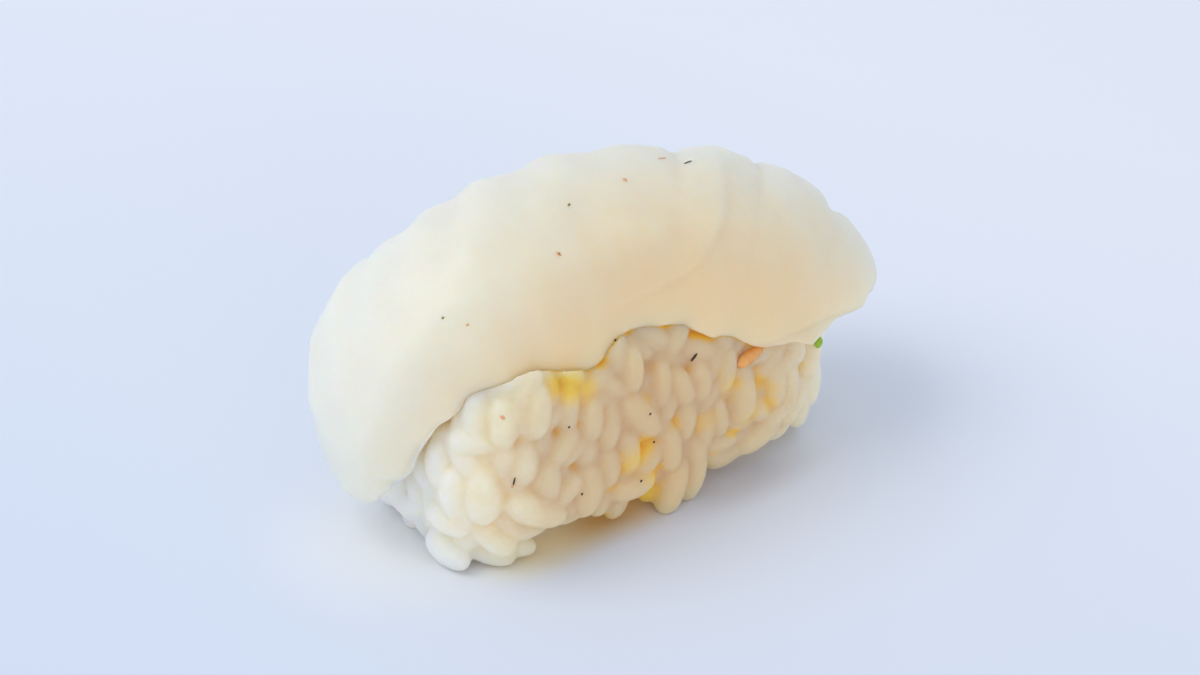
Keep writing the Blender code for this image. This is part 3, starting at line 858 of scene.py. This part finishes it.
def press_on(name, rows, colour, roughness, ball=SPECK_BALL):
    """Small lumps of one kind as one piece, each part sunk into what carries it."""
    lumps = []
    for x0, y0, x1, y1, width, thickness in rows:
        start, end = photo_spot(x0, y0)[0], photo_spot(x1, y1)[0]
        middle, normal = photo_spot((x0 + x1) / 2, (y0 + y1) / 2)
        along = end - start
        if along.length > 2 * (abs(x1 - x0) + abs(y1 - y0)) * pixel / MM:
            along = (right * (x1 - x0) - up * (y1 - y0)) * pixel / MM
        outward = (normal - along * normal.dot(along) / along.length_squared).normalized()
        turn = Matrix((outward.cross(along.normalized()), outward, along.normalized())).transposed()
        lump = new_ball(name, *ball)
        for vert in lump.data.vertices:
            x, y, z = vert.co
            ragged = 1 + RAGGEDNESS[1] * noise.noise(vert.co * RAGGEDNESS[0] + middle)
            local = Vector((x * width * ragged, y * thickness, z * along.length * ragged)) / 2
            vert.co = (middle + outward * thickness * LUMP_RISE + turn @ local) * MM
        lumps.append(lump)
    for lump in lumps:
        lump.select_set(True)
    bpy.context.view_layer.objects.active = lumps[0]
    bpy.ops.object.join()
    piece = bpy.context.object
    piece.name = piece.data.name = name
    bpy.ops.object.shade_smooth()
    material, nodes, links = new_material(name)
    shader = nodes["Principled BSDF"]
    coordinates = add_node(nodes, "ShaderNodeTexCoord")
    mottle = add_node(nodes, "ShaderNodeGroup", node_tree=moist_mottle)
    mottle.inputs["Blotch Scale"].default_value = 900
    mottle.inputs["Fine Scale"].default_value = 3000
    ramp = add_node(nodes, "ShaderNodeValToRGB")
    set_ramp(ramp, [(0.3, [part * 0.8 for part in colour]), (0.6, colour)])
    links.new(coordinates.outputs["Object"], mottle.inputs["Vector"])
    links.new(mottle.outputs["Mask"], ramp.inputs["Fac"])
    links.new(ramp.outputs["Color"], shader.inputs["Base Color"])
    shader.inputs["Roughness"].default_value = roughness
    piece.data.materials.append(material)
    finish_piece(piece)


press_on("orange_fleck", ORANGE_FLECK, (1.0, 0.46, 0.12), 0.4, FLECK_BALL)
press_on("green_fleck", GREEN_FLECK, (0.36, 0.62, 0.03), 0.4, FLECK_BALL)
press_on("dark_specks", DARK_SPECKS, (0.05, 0.035, 0.02), 0.5)
press_on("red_specks", RED_SPECKS, (0.90, 0.45, 0.22), 0.5)
press_on("green_specks", GREEN_SPECKS, (0.22, 0.26, 0.05), 0.5)

# The floor is plain, pale and a little blue, and isn't part of the nigiri. It gets paler towards the back
# right: a painted brightening where more light falls on it.
FLOOR_SIZE = 4
FLOOR_PALER_TOWARDS = (0.92, 0.39, 0)
FLOOR_REACH = (-0.06, 0.09)
FLOOR_TONES = [(0, (0.73, 0.80, 0.91)), (1, (0.90, 0.92, 0.96))]
# Light and shade that the nigiri lends the floor at its foot: middle and reach along X and Y in m, colour,
# strength
FLOOR_PATCHES = [
    ((-0.027, 0.001), (0.018, 0.018), (0.90, 0.92, 0.93), 0.8),
    ((-0.007, -0.0095), (0.0135, 0.005), (0.68, 0.50, 0.22), 0.9),
    ((-0.0148, -0.0096), (0.0095, 0.006), (1.0, 0.92, 0.62), 0.8),
    ((0.010, -0.013), (0.014, 0.005), (0.62, 0.60, 0.62), 0.7),
]
bpy.ops.object.select_all(action="DESELECT")
bpy.ops.mesh.primitive_plane_add(size=FLOOR_SIZE)
floor = bpy.context.object
floor.name = floor.data.name = "floor"
material, nodes, links = new_material("floor")
coordinates = add_node(nodes, "ShaderNodeTexCoord")
across = add_node(nodes, "ShaderNodeVectorMath", operation="DOT_PRODUCT")
across.inputs[1].default_value = FLOOR_PALER_TOWARDS
paling = add_node(nodes, "ShaderNodeMapRange")
paling.inputs["From Min"].default_value = FLOOR_REACH[0]
paling.inputs["From Max"].default_value = FLOOR_REACH[1]
ramp = add_node(nodes, "ShaderNodeValToRGB")
set_ramp(ramp, FLOOR_TONES)
links.new(coordinates.outputs["Object"], across.inputs[0])
links.new(across.outputs["Value"], paling.inputs["Value"])
links.new(paling.outputs["Result"], ramp.inputs["Fac"])
tone = ramp.outputs["Color"]
for middle, reach, colour, strength in FLOOR_PATCHES:
    place = add_node(
        nodes, "ShaderNodeMapping", vector_type="TEXTURE", Location=(*middle, 0), Scale=(*reach, 1)
    )
    distance = add_node(nodes, "ShaderNodeVectorMath", operation="LENGTH")
    fade = add_node(nodes, "ShaderNodeMapRange", interpolation_type="SMOOTHSTEP")
    fade.inputs["From Min"].default_value = 1
    fade.inputs["From Max"].default_value = 0
    fade.inputs["To Max"].default_value = strength
    patch = add_node(nodes, "ShaderNodeMix", data_type="RGBA")
    patch.inputs["B"].default_value = (*colour, 1)
    links.new(coordinates.outputs["Object"], place.inputs["Vector"])
    links.new(place.outputs["Vector"], distance.inputs[0])
    links.new(distance.outputs["Value"], fade.inputs["Value"])
    links.new(fade.outputs["Result"], patch.inputs["Factor"])
    links.new(tone, patch.inputs["A"])
    tone = patch.outputs["Result"]
links.new(tone, nodes["Principled BSDF"].inputs["Base Color"])
nodes["Principled BSDF"].inputs["Roughness"].default_value = 0.7
floor.data.materials.append(material)

# Soft daylight: an even cool sky, a wide bright window to the left and a little behind, and a weak warm fill
# from the front.
WINDOW_FROM = Vector((-0.75, 0.45, 1.25))
WINDOW_DISTANCE = 1.2
WINDOW_SIZE = 0.8
WINDOW_POWER = 4.4
FILL_FROM = Vector((-0.3, -0.9, 0.2))
FILL_DISTANCE = 0.9
FILL_SIZE = 0.5
FILL_POWER = 1.1
world = bpy.data.worlds.new("sky")
world.use_nodes = True
world.node_tree.nodes["Background"].inputs["Color"].default_value = (0.61, 0.665, 0.775, 1)
world.node_tree.nodes["Background"].inputs["Strength"].default_value = 1
bpy.context.scene.world = world


def add_panel(name, way, distance, size, power, colour):
    """A square light panel that faces the nigiri."""
    panel = bpy.data.objects.new(name, bpy.data.lights.new(name, "AREA"))
    panel.data.energy = power
    panel.data.size = size
    panel.data.color = colour
    panel.location = way.normalized() * distance
    panel.rotation_mode = "QUATERNION"
    panel.rotation_quaternion = way.to_track_quat("Z", "Y")
    bpy.context.scene.collection.objects.link(panel)


add_panel("window", WINDOW_FROM, WINDOW_DISTANCE, WINDOW_SIZE, WINDOW_POWER, (1.0, 0.97, 0.92))
add_panel("warm_fill", FILL_FROM, FILL_DISTANCE, FILL_SIZE, FILL_POWER, (1.0, 0.80, 0.60))
bpy.context.scene.view_settings.view_transform = "Standard"

# The camera, where the view constants above put it.
camera = bpy.data.objects.new("camera", bpy.data.cameras.new("camera"))
camera.location = eye
camera.rotation_mode = "QUATERNION"
camera.rotation_quaternion = back.to_track_quat("Z", "Y")
camera.data.lens = LENS
camera.data.sensor_width = SENSOR
camera.data.clip_start = 0.01
bpy.context.scene.collection.objects.link(camera)
bpy.context.scene.camera = camera
